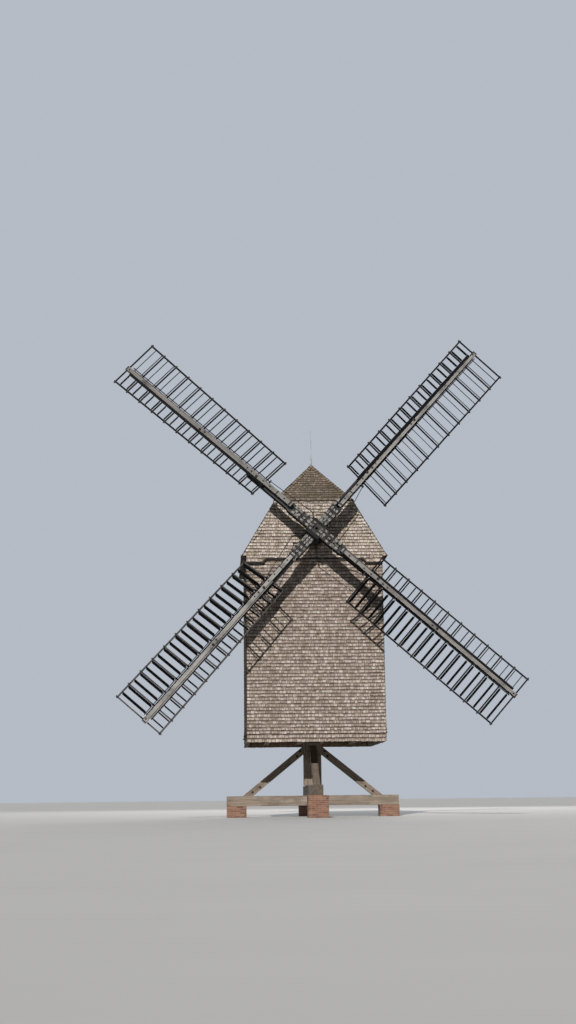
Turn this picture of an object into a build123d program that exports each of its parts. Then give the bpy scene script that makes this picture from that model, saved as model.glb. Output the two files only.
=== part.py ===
from build123d import *
import os
from math import atan2, cos, hypot, radians, sin, tan

os.makedirs("parts", exist_ok=True)

# A post mill, in millimetres. The origin is on the ground, on the axis of the main post.
# X runs to the right seen from the front, the sails face -Y, and Z is up.

# The four masonry piers and the two crosstrees that lie on them, crossing under the post
pier_side = 800
pier_radius = 3100
pier_height = 450
crosstree_half_length = 3500
crosstree_width = 380
crosstree_height = 400
lower_crosstree_top = pier_height + crosstree_height
upper_crosstree_top = lower_crosstree_top + crosstree_height

# The main post, square at the foot where the quarterbars lean on it, round above
post_square = 700
post_square_top = 2950
post_round_foot_radius = 320
post_round_head_radius = 270
post_head = 5500
pintle_radius = 120
pintle_height = 250
pivot_gap = 1
quarterbar_width = 260
quarterbar_head = 2850
quarterbar_foot_radius = 2850
quarterbar_vertical_depth = 340

# The turning house: a box of four walls under a roof with two slopes a side
house_half_width = 2714
house_half_length = 3000
wall_thickness = 140
skirt_bottom = 2900
wall_height = 7340
eaves_overhang = 164
lower_slope_run = 1344
lower_slope_rise = 2270
upper_slope_rise = 1700
half_hip_run = 1370
roof_thickness = 110
gable_thickness = 120
verge_overhang = 30
eaves_height = skirt_bottom + wall_height
eaves_half_width = house_half_width + eaves_overhang
break_height = eaves_height + lower_slope_rise
break_half_width = eaves_half_width - lower_slope_run
ridge_height = break_height + upper_slope_rise
verge = house_half_length + gable_thickness + verge_overhang
ridge_half_length = verge - half_hip_run
inner_half_width = house_half_width - wall_thickness
inner_half_length = house_half_length - wall_thickness

# The lower edge of each gable laps over the wall, and steps up between its two ends
gable_lap = 260
gable_step = 170
step_inset = 649
step_run = 130
gable_foot = eaves_height - gable_lap
step_foot_half_width = house_half_width - step_inset
step_top_half_width = step_foot_half_width - step_run

# The floor on its frame, which also holds the post like a collar
floor_above_skirt = 400
floor_board = 60
floor_beam_depth = 240
floor_beam_width = 200
collar_clearance = 15
joist_inset = 674
floor_top = skirt_bottom + floor_above_skirt
floor_beam_top = floor_top - floor_board
floor_beam_bottom = floor_beam_top - floor_beam_depth

# The crown tree, which hangs the house on the post, and the two girts on its ends
crown_tree_depth = 600
crown_tree_width = 600
girt_width = 200
girt_height = 300

# The windshaft, which points up a little towards the sails
shaft_tilt = 4.5
hub_before_house = 1287
hub_above_eaves = 815
shaft_radius = 290
neck_radius = 250
tail_radius = 110
bearing_gap = 1
neck_inset = 200
tail_inset = 260
hub_y = -house_half_length - hub_before_house
hub_z = eaves_height + hub_above_eaves
neck_y = neck_inset - inner_half_length
tail_y = inner_half_length - tail_inset
bearing_length = 240
tail_bearing_length = 160
bearing_wall = 180
bearing_half_width = 400
shaft_hole_clearance = 45
bearing_beam_width = 360
bearing_beam_height = 400

# The poll end and the two stocks, the front one crossing before the rear one
sail_angle = 48.6
stock_depth = 300
stock_hub_width = 400
stock_width = 290
stock_hub_half_length = 1300
stock_taper_length = 160
stock_half_length = 3500
stock_groove_width = 120
stock_groove_depth = 60
stock_bore_radius = 60
poll_side = 640
poll_back = -620

# One sail, seen along its stock: the whip, the bars, the two rails and the shutters
whip_heel = 1320
sail_radius = 10000
whip_heel_width = 190
whip_tip_width = 145
whip_depth = 200
whip_tip_depth = 150
whip_offset = -45
heel_bar = 2735
tip_bar = 9920
bar_count = 12
leading_width = 725
trailing_width = 1457
heel_weather = 23.5
tip_weather = 7.6
bar_width = 56
bar_thickness = 36
bar_stub = 75
rail_width = 64
rail_thickness = 34
rail_end = 45
inner_rail_gap = 8
inner_leading_rail = 100
inner_trailing_rail = 32
inner_rail_end = 9740
tip_block_start = 9790
tip_block_width = 175
shutter_step = 90
shutter_depth = 200
shutter_thickness = 25
shutter_root_gap = 12
shutter_end_gap = 12
leading_lean = -5
trailing_lean = -20
spindle = 22
shutter_bar_width = 30
shutter_bar_low = 25
shutter_bar_high = 65
shutter_bar_side = -200
lever_width = 28
lever_thickness = 10
seat_gap = 0.3

# The iron spider on the shaft, and the rods and cranks that work the shutters
spider_front = -720
spider_thickness = 60
spider_ring_width = 70
spider_arm = 45
spider_reach = 950
crank_thickness = 40
crank_radius = 2600
crank_out = 280
crank_in = 140
crank_height = 180
rod_radius = 14

# Bands and wedges across the stocks near the hub, and a stirrup over each whip's heel
front_band_radii = (250, 500, 750)
rear_band_radii = (760, 1000, 1210)
front_wedge_radii = (860, 1040)
rear_wedge_radii = (420, 590)
band_length = 45
band_thickness = 22
band_overlap = 18
wedge_length = 125
wedge_taper = 22
wedge_width = 128
wedge_thickness = 75
stirrup_length = 60
stirrup_start = 1390
stirrup_wall = 25

# The lightning rod on the front end of the ridge
lightning_socket_radius = 34
lightning_socket_height = 330
lightning_rod_radius = 14
lightning_height = 1490


def prism(plane, corners, amount, mode=Mode.ADD):
    """Extrude the polygon through the corners, drawn on the plane, by the amount."""
    with BuildSketch(plane) as outline:
        with BuildLine():
            Polyline(*corners, close=True)
        make_face()
    extrude(outline.sketch, amount=amount, mode=mode)


def block(plane, x_range, y_range, z_range, mode=Mode.ADD):
    """A box between two values on each axis of the plane."""
    (left, right), (low, high) = x_range, y_range
    corners = [(left, low), (right, low), (right, high), (left, high)]
    prism(plane.offset(z_range[0]), corners, z_range[1] - z_range[0], mode)


def save(part, label):
    """Label a finished piece and write its file."""
    part.label = label
    export_step(part, f"parts/{label}.step")


# Trestle: piers, crosstrees, quarterbars and post
half_square = post_square / 2
half_pier = pier_side / 2

with BuildPart() as piers:
    middle = (-half_pier, half_pier)
    for axis_side in (-1, 1):
        centre = axis_side * pier_radius
        outside = (centre - half_pier, centre + half_pier)
        block(Plane.XY, outside, middle, (0, pier_height))
        block(Plane.XY, middle, outside, (0, lower_crosstree_top))
    chamfer(piers.edges().filter_by(Axis.Z), length=20)
save(piers.part, "piers")

crosstree_span = (-crosstree_half_length, crosstree_half_length)
crosstree_breadth = (-crosstree_width / 2, crosstree_width / 2)
with BuildPart() as crosstree_lower:
    block(Plane.XY, crosstree_span, crosstree_breadth, (pier_height, lower_crosstree_top))
    chamfer(crosstree_lower.edges().filter_by(Axis.X), length=12)
save(crosstree_lower.part, "crosstree_lower")

with BuildPart() as crosstree_upper:
    block(Plane.XY, crosstree_breadth, crosstree_span, (lower_crosstree_top, upper_crosstree_top))
    chamfer(crosstree_upper.edges().filter_by(Axis.Y), length=12)
save(crosstree_upper.part, "crosstree_upper")


def quarterbar(direction, crosstree_top):
    """One leaning strut, cut level on its crosstree and upright on the post."""
    slope = (quarterbar_head - crosstree_top) / (quarterbar_foot_radius - half_square)
    foot_length = quarterbar_vertical_depth / slope
    corners = [
        (half_square, quarterbar_head),
        (half_square, quarterbar_head - quarterbar_vertical_depth),
        (quarterbar_foot_radius - foot_length, crosstree_top),
        (quarterbar_foot_radius, crosstree_top),
    ]
    side_view = Plane(origin=(0, 0, 0), x_dir=direction, z_dir=Vector(*direction).cross(Vector(0, 0, 1)))
    prism(side_view.offset(-quarterbar_width / 2), corners, quarterbar_width)


with BuildPart() as quarterbars:
    for turn_side in (-1, 1):
        quarterbar((turn_side, 0, 0), lower_crosstree_top)
        quarterbar((0, turn_side, 0), upper_crosstree_top)
save(quarterbars.part, "quarterbars")

with BuildPart() as main_post:
    square = (-half_square, half_square)
    block(Plane.XY, square, square, (upper_crosstree_top, post_square_top))
    chamfer(main_post.edges().filter_by(Axis.Z), length=40)
    with BuildSketch(Plane.XZ):
        with BuildLine():
            Polyline(
                (0, post_square_top),
                (post_round_foot_radius, post_square_top),
                (post_round_head_radius, post_head),
                (pintle_radius, post_head),
                (pintle_radius, post_head + pintle_height),
                (0, post_head + pintle_height),
                close=True,
            )
        make_face()
    revolve(axis=Axis.Z)
save(main_post.part, "main_post")

# House frame: crown tree, girts, floor frame and floor
crown_tree_bottom = post_head + pivot_gap
crown_tree_top = crown_tree_bottom + crown_tree_depth
across = (-inner_half_width, inner_half_width)
along = (-inner_half_length, inner_half_length)

with BuildPart() as crown_tree:
    half_crown = crown_tree_width / 2
    block(Plane.XY, across, (-half_crown, half_crown), (crown_tree_bottom, crown_tree_top))
    chamfer(crown_tree.edges().filter_by(Axis.X), length=25)
    with BuildSketch(Plane.XY.offset(crown_tree_bottom)):
        Circle(pintle_radius + pivot_gap)
    extrude(amount=pintle_height + pivot_gap, mode=Mode.SUBTRACT)
save(crown_tree.part, "crown_tree")

with BuildPart() as girts:
    for girt_side in (-1, 1):
        faces = sorted((girt_side * inner_half_width, girt_side * (inner_half_width - girt_width)))
        block(Plane.XY, faces, along, (crown_tree_top, crown_tree_top + girt_height))
save(girts.part, "girts")

collar_face = post_round_foot_radius + collar_clearance
joist_face = inner_half_width - joist_inset - floor_beam_width
with BuildPart() as floor_frame:
    beam_heights = (floor_beam_bottom, floor_beam_top)
    for beam_side in (-1, 1):
        for beam_face in (collar_face, joist_face):
            faces = sorted((beam_side * beam_face, beam_side * (beam_face + floor_beam_width)))
            block(Plane.XY, faces, along, beam_heights)
        faces = sorted((beam_side * collar_face, beam_side * (collar_face + floor_beam_width)))
        block(Plane.XY, (-collar_face, collar_face), faces, beam_heights)
save(floor_frame.part, "floor_frame")

with BuildPart() as floor:
    block(Plane.XY, across, along, (floor_beam_top, floor_top))
    with BuildSketch(Plane.XY.offset(floor_beam_top)):
        Circle(collar_face)
    extrude(amount=floor_board, mode=Mode.SUBTRACT)
save(floor.part, "floor")

# The windshaft's own directions: shaft_out points from the house to the sails
tilt = radians(shaft_tilt)
shaft_out = Vector(0, -cos(tilt), sin(tilt))
hub = Vector(0, hub_y, hub_z)
hub_plane = Plane(origin=hub, x_dir=(1, 0, 0), z_dir=shaft_out)


def axis_distance(y):
    """The distance along the shaft, from the hub forwards, of the axis point at this y."""
    return (hub_y - y) / cos(tilt)


def axis_height(y):
    """The height of the shaft's axis at this y."""
    return hub_z - (y - hub_y) * tan(tilt)


# Walls and gables
rear_view = Plane(origin=(0, 0, 0), x_dir=(-1, 0, 0), z_dir=(0, 1, 0))
roof_angle = atan2(break_height - eaves_height, eaves_half_width - break_half_width)
underside_shift = roof_thickness / sin(roof_angle)


def underside_height(x):
    """The height of the lower roof slope's underside above a distance x from the middle."""
    return eaves_height + (eaves_half_width - underside_shift - x) * tan(roof_angle)


def end_wall(label, faces_rear):
    """A plain end wall, from the skirt up to the eaves."""
    view = rear_view if faces_rear else Plane.XZ
    with BuildPart() as wall:
        width = (-house_half_width, house_half_width)
        block(view, width, (skirt_bottom, eaves_height), (inner_half_length, house_half_length))
    save(wall.part, label)


def side_wall(label, side):
    """A side wall between the end walls, its top cut to the slope of the roof."""
    corners = [
        (side * house_half_width, skirt_bottom),
        (side * inner_half_width, skirt_bottom),
        (side * inner_half_width, underside_height(inner_half_width)),
        (side * house_half_width, underside_height(house_half_width)),
    ]
    with BuildPart() as wall:
        prism(Plane.XZ.offset(inner_half_length), corners, -2 * inner_half_length)
    save(wall.part, label)


def gable(label, faces_rear):
    """An upper end wall, standing out over the wall below, under the slopes of the roof."""
    view = rear_view if faces_rear else Plane.XZ
    half = [
        (step_top_half_width, gable_foot + gable_step),
        (step_foot_half_width, gable_foot),
        (house_half_width, gable_foot),
        (house_half_width, underside_height(house_half_width)),
        (break_half_width - underside_shift, break_height),
    ]
    corners = half + [(-x, z) for x, z in reversed(half)]
    with BuildPart() as wall:
        prism(view.offset(house_half_length), corners, gable_thickness)
        if not faces_rear:
            with BuildSketch(hub_plane):
                Circle(shaft_radius + shaft_hole_clearance)
            extrude(amount=axis_distance(0), mode=Mode.SUBTRACT)
    save(wall.part, label)


for wall_label, at_rear in (("front", False), ("rear", True)):
    end_wall(f"{wall_label}_wall", at_rear)
    gable(f"{wall_label}_gable", at_rear)
for wall_label, wall_side in (("left", -1), ("right", 1)):
    side_wall(f"{wall_label}_wall", wall_side)

# Roof: two steep lower slopes, two upper slopes, and a half hip over each gable
for slope_label, slope_side in (("left", -1), ("right", 1)):
    with BuildPart() as roof_lower:
        slope_corners = [
            (slope_side * eaves_half_width, eaves_height),
            (slope_side * (eaves_half_width - underside_shift), eaves_height),
            (slope_side * (break_half_width - underside_shift), break_height),
            (slope_side * break_half_width, break_height),
        ]
        prism(Plane.XZ.offset(verge), slope_corners, -2 * verge)
    save(roof_lower.part, f"roof_{slope_label}_lower")

hip_out = Vector(0, -upper_slope_rise, half_hip_run).normalized()
ridge_drop = roof_thickness / cos(atan2(upper_slope_rise, break_half_width))


def hipped_prism(drop, inset):
    """The upper roof as one closed body, lowered by drop and with its hips moved in by inset."""
    half_width = break_half_width * (upper_slope_rise - drop) / upper_slope_rise
    with BuildPart() as body:
        corners = [(-half_width, break_height), (half_width, break_height), (0, ridge_height - drop)]
        prism(Plane.XZ.offset(verge), corners, -2 * verge)
        for end in (1, -1):
            outward = Vector(0, end * hip_out.Y, hip_out.Z)
            foot = Vector(0, -end * verge, break_height) - outward * inset
            split(bisect_by=Plane(origin=foot, z_dir=outward), keep=Keep.BOTTOM)
    return body.part


upper_roof = hipped_prism(0, 0) - hipped_prism(ridge_drop, roof_thickness)


def upper_slope(label, side):
    """One upper slope, cut along the two hips."""
    with BuildPart() as slope:
        add(upper_roof)
        split(bisect_by=Plane(origin=(0, 0, 0), z_dir=(side, 0, 0)), keep=Keep.TOP)
        for end in (-1, 1):
            corner = (side * break_half_width, end * verge, 0)
            towards_end = (-side * half_hip_run, end * break_half_width, 0)
            split(bisect_by=Plane(origin=corner, z_dir=towards_end), keep=Keep.BOTTOM)
    save(slope.part, label)


def half_hip(label, end):
    """The small sloping roof over one gable, cut along its two hips."""
    with BuildPart() as hip:
        add(upper_roof)
        for side in (-1, 1):
            corner = (side * break_half_width, end * verge, 0)
            towards_end = (-side * half_hip_run, end * break_half_width, 0)
            split(bisect_by=Plane(origin=corner, z_dir=towards_end), keep=Keep.TOP)
    save(hip.part, label)


upper_slope("roof_left_upper", -1)
upper_slope("roof_right_upper", 1)
half_hip("front_half_hip", -1)
half_hip("rear_half_hip", 1)

with BuildPart() as lightning_rod:
    rod_foot = Vector(0, -ridge_half_length, ridge_height)
    with BuildSketch(Plane(origin=rod_foot)):
        Circle(lightning_socket_radius)
    extrude(amount=lightning_socket_height)
    with BuildSketch(Plane(origin=rod_foot)):
        Circle(lightning_rod_radius)
    extrude(amount=lightning_height)
    chamfer(lightning_rod.edges().filter_by(GeomType.CIRCLE).sort_by(Axis.Z)[-1], length=10)
save(lightning_rod.part, "lightning_rod")

# Windshaft and its two bearings, each on a beam across the house
shaft_front = poll_back
neck_front = axis_distance(neck_y - bearing_length / 2)
neck_back = axis_distance(neck_y + bearing_length / 2)
tail_front = axis_distance(tail_y - tail_bearing_length / 2)
tail_back = axis_distance(tail_y + tail_bearing_length / 2)
running_room = 20

with BuildPart() as windshaft:
    shaft_side = Plane(origin=hub, x_dir=shaft_out, z_dir=(1, 0, 0))
    with BuildSketch(shaft_side):
        with BuildLine():
            Polyline(
                (shaft_front, 0),
                (shaft_front, shaft_radius),
                (neck_front + running_room, shaft_radius),
                (neck_front + running_room, neck_radius),
                (neck_back - running_room, neck_radius),
                (neck_back - running_room, shaft_radius),
                (tail_front + running_room, shaft_radius * 0.8),
                (tail_front + running_room, tail_radius),
                (tail_back - running_room, tail_radius),
                (tail_back - running_room, 0),
                close=True,
            )
        make_face()
    revolve(axis=Axis(hub, shaft_out))
save(windshaft.part, "windshaft")


with BuildPart() as shaft_bearings:
    for start, end, radius in ((neck_front, neck_back, neck_radius), (tail_front, tail_back, tail_radius)):
        width = (-bearing_half_width, bearing_half_width)
        block(hub_plane, width, (-radius - bearing_wall, 0), (end, start))
        with BuildSketch(hub_plane.offset(end)):
            Circle(radius + bearing_gap)
        extrude(amount=start - end, mode=Mode.SUBTRACT)
save(shaft_bearings.part, "shaft_bearings")


def bearing_beam(label, y, radius, wall_y):
    """A beam across the house, its top cut to the slope of the bearing that it carries."""
    half = bearing_beam_width / 2
    drop = (radius + bearing_wall) / cos(tilt)
    near, far = sorted((wall_y, y - half if wall_y > y else y + half))
    corners = [
        (near, axis_height(near) - drop),
        (far, axis_height(far) - drop),
        (far, axis_height(y) - drop - bearing_beam_height),
        (near, axis_height(y) - drop - bearing_beam_height),
    ]
    with BuildPart() as beam:
        prism(Plane.YZ.offset(-inner_half_width), corners, 2 * inner_half_width)
    save(beam.part, label)


bearing_beam("breast_beam", neck_y, neck_radius, -inner_half_length)
bearing_beam("tail_beam", tail_y, tail_radius, inner_half_length)

# Poll end and stocks. Each sail plane has X out along the arm, Y to the leading side, Z forwards.
sail_names = ("upper_right", "upper_left", "lower_left", "lower_right")
lattice_front = stock_depth
rear_stock_front = -whip_depth / 2
front_stock_front = rear_stock_front + stock_depth


def arm_plane(index, forward):
    """The plane of one arm, a quarter turn from the one before, moved forwards on the shaft."""
    angle = radians(sail_angle + 90 * index)
    arm = hub_plane.x_dir * cos(angle) + hub_plane.y_dir * sin(angle)
    return Plane(origin=hub + shaft_out * forward, x_dir=arm, z_dir=shaft_out)


def stock_outline():
    """Half of the stock's outline, wide through the hub and narrower beyond it."""
    half_hub = stock_hub_width / 2
    half_arm = stock_width / 2
    shoulder = stock_hub_half_length + stock_taper_length
    return [
        (-stock_half_length, half_arm),
        (-shoulder, half_arm),
        (-stock_hub_half_length, half_hub),
        (stock_hub_half_length, half_hub),
        (shoulder, half_arm),
        (stock_half_length, half_arm),
    ]


def stock(label, index, front):
    """A through stock with a groove along the middle of its front and a bore at the hub."""
    plane = arm_plane(index, front)
    upper = stock_outline()
    outline = upper + [(x, -y) for x, y in reversed(upper)]
    groove = (-stock_groove_width / 2, stock_groove_width / 2)
    with BuildPart() as timber:
        prism(plane, outline, -stock_depth)
        groove_span = (-stock_hub_half_length, stock_hub_half_length)
        block(plane, groove_span, groove, (-stock_groove_depth, 0), Mode.SUBTRACT)
        if front > 0:
            with BuildSketch(plane):
                Circle(stock_bore_radius)
            extrude(amount=-stock_depth, mode=Mode.SUBTRACT)
    save(timber.part, label)


stock("front_stock", 1, front_stock_front)
stock("rear_stock", 0, rear_stock_front)

with BuildPart() as poll_end:
    half_poll = poll_side / 2
    half_hub_stock = stock_hub_width / 2
    poll_plane = arm_plane(0, 0)
    block(poll_plane, (-half_poll, half_poll), (-half_poll, half_poll), (poll_back, front_stock_front))
    chamfer(poll_end.edges().filter_by(Axis(hub, shaft_out)), length=45)
    slot = (-half_hub_stock, half_hub_stock)
    through = (-poll_side, poll_side)
    block(arm_plane(0, 0), through, slot, (rear_stock_front - stock_depth, rear_stock_front), Mode.SUBTRACT)
    block(arm_plane(1, 0), through, slot, (front_stock_front - stock_depth, front_stock_front), Mode.SUBTRACT)
save(poll_end.part, "poll_end")

# One sail in its own plane: X out along the arm, Y to the leading side, Z forwards
heel_cos, heel_sin = cos(radians(heel_weather)), sin(radians(heel_weather))
tip_cos, tip_sin = cos(radians(tip_weather)), sin(radians(tip_weather))


def weather(radius):
    """The bar's vector to the leading side at this radius, which runs straight from heel to tip."""
    share = (radius - heel_bar) / (tip_bar - heel_bar)
    return heel_cos + (tip_cos - heel_cos) * share, heel_sin + (tip_sin - heel_sin) * share


def bar_plane(radius, side):
    """A plane square to the bar at this radius, at a distance to the leading side along the bar."""
    level, rise = weather(radius)
    length = hypot(level, rise)
    origin = (radius, side * level / length, side * rise / length)
    return Plane(origin=origin, x_dir=(1, 0, 0), z_dir=(0, level, rise))


def reach(radius, width):
    """The length along the bar from the arm's axis to a rail, at this radius."""
    return width * hypot(*weather(radius))


bar_radii = [heel_bar + (tip_bar - heel_bar) * index / (bar_count - 1) for index in range(bar_count)]
bay = bar_radii[1] - bar_radii[0]
shutter_steps = (shutter_step, shutter_step + bay / 2)
shutter_radii = [radius + step for radius in bar_radii[:-1] for step in shutter_steps]

with BuildPart() as bars_pattern:
    for radius in bar_radii:
        start = -reach(radius, trailing_width) - bar_stub
        with BuildSketch(bar_plane(radius, start)):
            Rectangle(bar_width, bar_thickness)
        extrude(amount=reach(radius, leading_width) + bar_stub - start)

with BuildPart() as spindles_pattern:
    for radius in shutter_radii:
        end_room = rail_width / 2 + seat_gap
        start = -reach(radius, trailing_width) + end_room
        with BuildSketch(bar_plane(radius, start)):
            Rectangle(spindle, spindle)
        extrude(amount=reach(radius, leading_width) - end_room - start)



def whip_face(radius, side):
    """The distance from the arm's axis to the whip's face on one side, at this radius."""
    share = (radius - whip_heel) / (sail_radius - whip_heel)
    return side * whip_offset + (whip_heel_width + (whip_tip_width - whip_heel_width) * share) / 2


with BuildPart() as frame_pattern:
    for side, width in ((1, inner_leading_rail), (-1, -inner_trailing_rail)):
        for radius in (heel_bar - rail_end, inner_rail_end):
            level, rise = weather(radius)
            middle = side * (whip_face(radius, side) + inner_rail_gap) / level + width / 2
            corner = (radius, middle * level, middle * rise)
            with BuildSketch(Plane(origin=corner, x_dir=(0, level, rise), z_dir=(1, 0, 0))):
                Rectangle(abs(width), rail_thickness)
        loft(ruled=True)
    add(spindles_pattern.part, mode=Mode.SUBTRACT)
    add(bars_pattern.part)
    for side_width in (leading_width, -trailing_width):
        for radius in (heel_bar - rail_end, tip_bar + rail_end):
            level, rise = weather(radius)
            corner = (radius, side_width * level, side_width * rise)
            with BuildSketch(Plane(origin=corner, x_dir=(0, level, rise), z_dir=(1, 0, 0))):
                Rectangle(rail_width, rail_thickness)
        loft(ruled=True)

with BuildPart() as whip_pattern:
    whip_ends = ((whip_heel, whip_heel_width, whip_depth), (sail_radius, whip_tip_width, whip_tip_depth))
    for radius, width, depth in whip_ends:
        setback = (whip_depth - depth) / 2
        with BuildSketch(Plane(origin=(radius, whip_offset, -setback), x_dir=(0, 1, 0), z_dir=(1, 0, 0))):
            Rectangle(width, depth)
    loft(ruled=True)
    half_block = tip_block_width / 2
    block_side = (whip_offset - half_block, whip_offset + half_block)
    block_back = -whip_depth / 2
    block(Plane.XY, (tip_block_start, sail_radius), block_side, (block_back, block_back + whip_tip_depth))
    add(bars_pattern.part, mode=Mode.SUBTRACT)
    add(spindles_pattern.part, mode=Mode.SUBTRACT)


def shutter_root(radius, edge, back):
    """The length along the bar to a shutter that clears a timber's edge down to its back."""
    level, rise = weather(radius)
    return (edge + back * rise + shutter_root_gap) / level


def shutter_boards(radius):
    """The start, end and lean of the two boards of one shutter line, along their spindle."""
    level = weather(radius)[0]
    end_room = rail_width / 2 + shutter_end_gap
    past_rail = (whip_face(radius, 1) + inner_rail_gap) / level + inner_leading_rail + shutter_root_gap
    past_bar = (shutter_bar_width / 2 + shutter_root_gap - shutter_bar_side) / level
    leading = max(past_rail, shutter_root(radius, whip_face(radius, 1), whip_depth / 2))
    trailing = max(past_bar, shutter_root(radius, whip_face(radius, -1), whip_depth / 2))
    if radius < stock_half_length + shutter_depth / 2:
        past_stock = shutter_root(radius, stock_width / 2, shutter_depth / 2)
        leading, trailing = max(leading, past_stock), max(trailing, past_stock)
    return (
        (leading, reach(radius, leading_width) - end_room, leading_lean),
        (end_room - reach(radius, trailing_width), -trailing, trailing_lean),
    )


with BuildPart() as shutters_pattern:
    add(spindles_pattern.part)
    for radius in shutter_radii:
        for start, end, lean in shutter_boards(radius):
            with BuildSketch(bar_plane(radius, start)):
                Rectangle(shutter_thickness, shutter_depth, rotation=lean)
            extrude(amount=end - start)
        level, rise = weather(radius)
        lever_foot = shutter_bar_side * rise / level
        lever_span = (radius - lever_width / 2, radius + lever_width / 2)
        lever_faces = (shutter_bar_side - lever_thickness / 2, shutter_bar_side + lever_thickness / 2)
        block(Plane.XY, lever_span, lever_faces, (lever_foot, shutter_bar_low + lever_thickness))
    half_bar = shutter_bar_width / 2
    bar_faces = (shutter_bar_side - half_bar, shutter_bar_side + half_bar)
    bar_span = (crank_radius, shutter_radii[-1] + shutter_step)
    block(Plane.XY, bar_span, bar_faces, (shutter_bar_low, shutter_bar_high))

for index, sail_name in enumerate(sail_names):
    forward = lattice_front if index % 2 else 0
    patterns = (("whip", whip_pattern), ("sail_frame", frame_pattern), ("shutters", shutters_pattern))
    for label, pattern in patterns:
        with BuildPart() as placed:
            with Locations(arm_plane(index, forward).location):
                add(pattern.part)
        save(placed.part, f"{label}_{sail_name}")

# Iron bands across the stocks and a stirrup over each whip's heel
with BuildPart() as arm_bands:
    for index in range(len(sail_names)):
        is_front = index % 2 == 1
        plane = arm_plane(index, front_stock_front if is_front else rear_stock_front)
        half_band = stock_hub_width / 2 + band_overlap
        for radius in front_band_radii if is_front else rear_band_radii:
            block(plane, (radius, radius + band_length), (-half_band, half_band), (0, band_thickness))
        whip_low = whip_offset - whip_heel_width / 2 - seat_gap
        whip_high = whip_offset + whip_heel_width / 2 + seat_gap
        stirrup_span = (stirrup_start, stirrup_start + stirrup_length)
        stirrup_faces = (whip_low - stirrup_wall, whip_high + stirrup_wall)
        cover = whip_depth + seat_gap
        block(plane, stirrup_span, stirrup_faces, (0, cover + stirrup_wall))
        block(plane, stirrup_span, (whip_low, whip_high), (0, cover), Mode.SUBTRACT)
save(arm_bands.part, "arm_bands")

# Pairs of wedge blocks on the two cheeks of each stock
with BuildPart() as arm_wedges:
    for index in range(len(sail_names)):
        is_front = index % 2 == 1
        plane = arm_plane(index, front_stock_front if is_front else rear_stock_front)
        for radius in front_wedge_radii if is_front else rear_wedge_radii:
            for cheek in (-1, 1):
                inner = cheek * stock_groove_width / 2
                outer = cheek * (stock_groove_width / 2 + wedge_width)
                corners = [
                    (radius, inner),
                    (radius + wedge_length, inner + cheek * wedge_taper),
                    (radius + wedge_length, outer),
                    (radius, outer - cheek * wedge_taper),
                ]
                prism(plane, corners, wedge_thickness)
save(arm_wedges.part, "arm_wedges")

# Spider on the shaft, with an arm between each two sails
with BuildPart() as spider:
    with BuildSketch(hub_plane.offset(spider_front)):
        Circle(shaft_radius + spider_ring_width)
        Circle(shaft_radius, mode=Mode.SUBTRACT)
    extrude(amount=-spider_thickness)
    for index in range(len(sail_names)):
        angle = radians(sail_angle - 45 + 90 * index)
        arm = hub_plane.x_dir * cos(angle) + hub_plane.y_dir * sin(angle)
        plane = Plane(origin=hub + shaft_out * spider_front, x_dir=arm, z_dir=shaft_out)
        start = shaft_radius + spider_ring_width / 2
        block(plane, (start, spider_reach), (-spider_arm / 2, spider_arm / 2), (-spider_thickness, 0))
save(spider.part, "spider")

# Cranks on the stocks, each with a rod to the spider's arm beside it
with BuildPart() as control_rods:
    for index in range(len(sail_names)):
        plane = arm_plane(index, lattice_front if index % 2 else 0)
        crank_span = (crank_radius - crank_thickness, crank_radius)
        crank_foot = -whip_depth / 2
        block(plane, crank_span, (-crank_out, -crank_in), (crank_foot, crank_foot + crank_height))
        spider_angle = radians(sail_angle - 45 + 90 * index)
        arm = hub_plane.x_dir * cos(spider_angle) + hub_plane.y_dir * sin(spider_angle)
        rod_start = hub + shaft_out * spider_front + arm * (spider_reach - spider_arm)
        crank_middle = crank_radius - crank_thickness / 2
        rod_end = plane.from_local_coords((crank_middle, crank_thickness - crank_out, 0))
        direction = Vector(rod_end) - rod_start
        with BuildSketch(Plane(origin=rod_start, z_dir=direction)):
            RegularPolygon(rod_radius, 8)
        extrude(amount=direction.length)
    split(bisect_by=hub_plane.offset(spider_front), keep=Keep.TOP)
save(control_rods.part, "control_rods")
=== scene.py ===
import bpy
import numpy as np
from math import atan, cos, radians, sin, tan
from mathutils import Matrix, Vector


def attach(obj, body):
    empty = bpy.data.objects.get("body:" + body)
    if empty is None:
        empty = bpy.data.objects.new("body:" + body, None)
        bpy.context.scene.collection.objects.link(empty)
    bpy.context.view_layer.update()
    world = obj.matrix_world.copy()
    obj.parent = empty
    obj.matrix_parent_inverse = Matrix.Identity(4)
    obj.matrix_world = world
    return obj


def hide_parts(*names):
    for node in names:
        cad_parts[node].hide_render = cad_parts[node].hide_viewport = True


# A post mill: a shingled house that turns on a post and carries four shuttered sails.
# Metres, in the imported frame: X to the right seen from the front, sails towards -Y, Z up.
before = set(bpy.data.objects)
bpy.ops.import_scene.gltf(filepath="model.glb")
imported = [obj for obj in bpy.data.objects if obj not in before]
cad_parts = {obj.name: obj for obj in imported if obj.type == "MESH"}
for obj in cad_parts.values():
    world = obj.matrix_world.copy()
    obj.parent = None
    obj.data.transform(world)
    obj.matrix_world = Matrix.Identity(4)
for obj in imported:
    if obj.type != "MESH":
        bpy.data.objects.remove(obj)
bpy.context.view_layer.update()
chance = np.random.default_rng(41)

# Brick piers: four piers under the ends of the crosstrees, the front and rear ones taller.
# They are hard-burnt bricks in lime mortar, laid in courses whose joints cross at the corners,
# with the mortar raked back a little behind the faces of the bricks.
pier_half = 0.4
pier_out = 3.1
low_pier, high_pier = 0.45, 0.85
brick_depth = 0.12
brick_joint = 0.011
brick_unevenness = 0.004
mortar_set_back = 0.009
brick_course = 0.0755


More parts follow.
